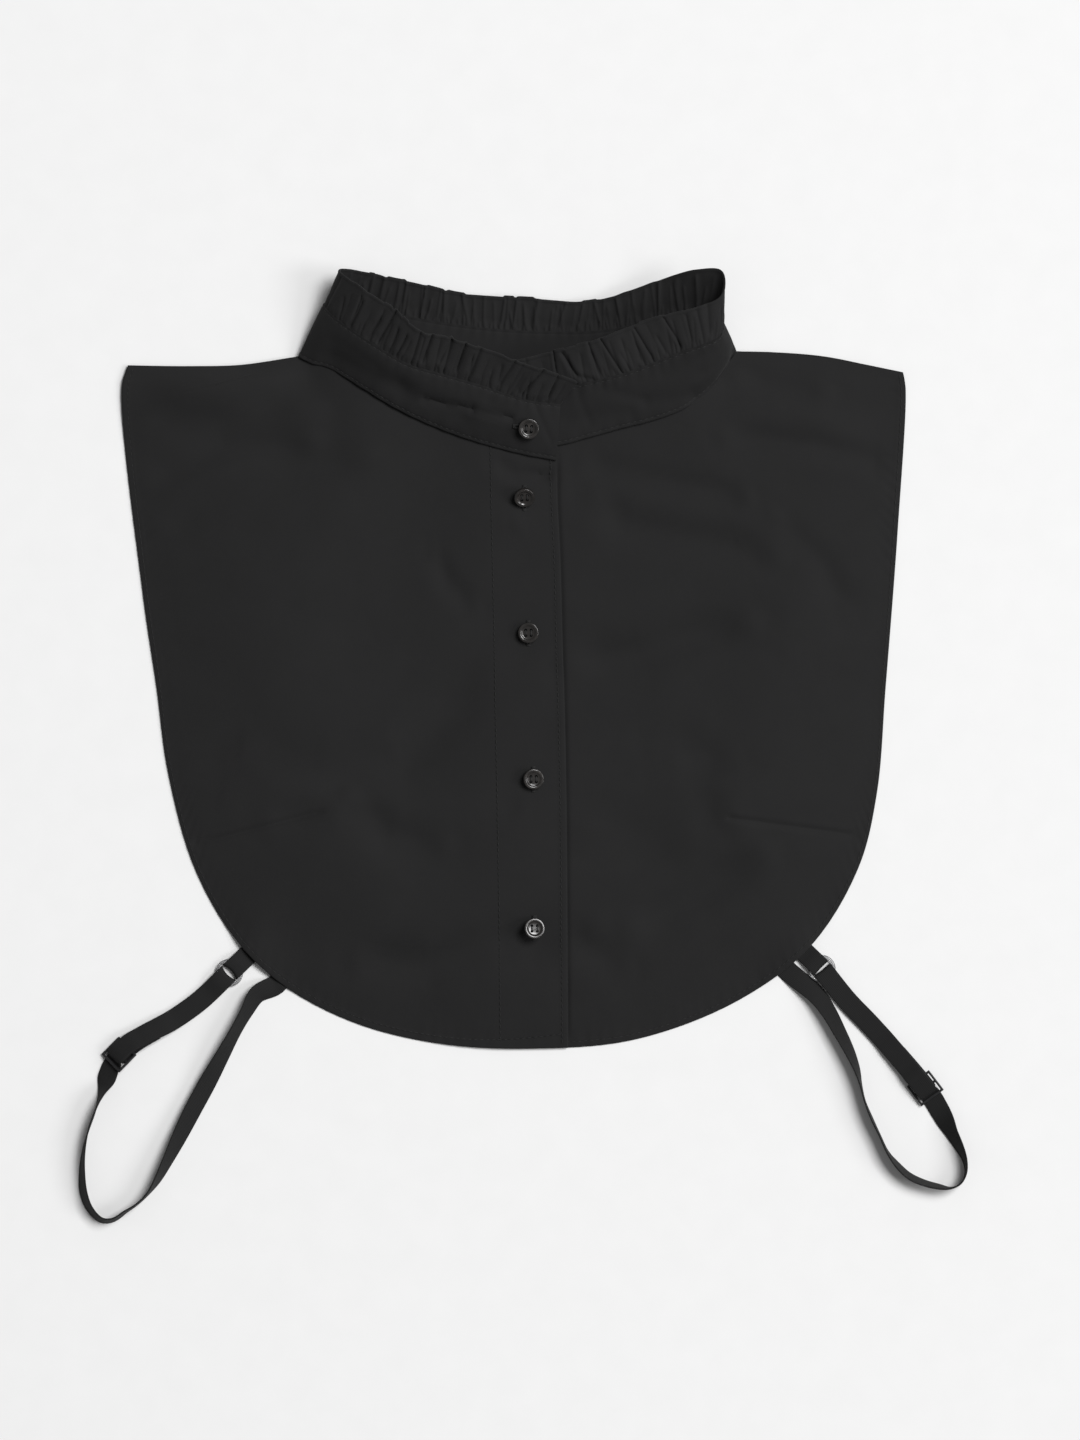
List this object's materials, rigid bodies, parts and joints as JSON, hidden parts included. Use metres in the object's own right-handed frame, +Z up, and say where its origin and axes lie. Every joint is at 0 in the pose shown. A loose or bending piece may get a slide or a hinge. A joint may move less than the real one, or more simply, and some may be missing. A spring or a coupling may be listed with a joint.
{
  "type": "mock collar",
  "caption": "Black false-blouse mock collar with a ruffled stand collar, button placket, rounded hem and adjustable elastic side straps, lying flat.",
  "frame": {"origin": "on the surface that it lies on, under the middle of its bounding box", "axes": "+Z up, away from the table; +Y from the hem to the collar; +X to the right of someone who looks down at its front"},
  "size_m": [0.4448, 0.478, 0.0327],
  "materials": {
    "cotton_poplin": "matt black woven cotton poplin",
    "strap_elastic": "black woven elastic with a soft satin face",
    "button_resin": "glossy smoky black resin",
    "sewing_thread": "black sewing thread",
    "ring_nylon": "smooth smoky grey nylon",
    "slider_nylon": "glossy black nylon"
  },
  "bodies": {
    "root": {"back_panel": "cotton_poplin", "front_left_panel": "cotton_poplin", "front_right_panel": "cotton_poplin", "collar_band": "cotton_poplin", "collar_ruffle": "cotton_poplin", "button_1": "button_resin", "button_2": "button_resin", "button_3": "button_resin", "button_4": "button_resin", "button_5": "button_resin", "button_shank_1": "sewing_thread", "button_shank_2": "sewing_thread", "button_shank_3": "sewing_thread", "button_shank_4": "sewing_thread", "button_shank_5": "sewing_thread", "strap_tab_left": "strap_elastic", "strap_ring_left": "ring_nylon", "strap_left": "strap_elastic", "strap_slider_left": "slider_nylon", "strap_tab_right": "strap_elastic", "strap_ring_right": "ring_nylon", "strap_right": "strap_elastic", "strap_slider_right": "slider_nylon"}
  },
  "joints": []
}
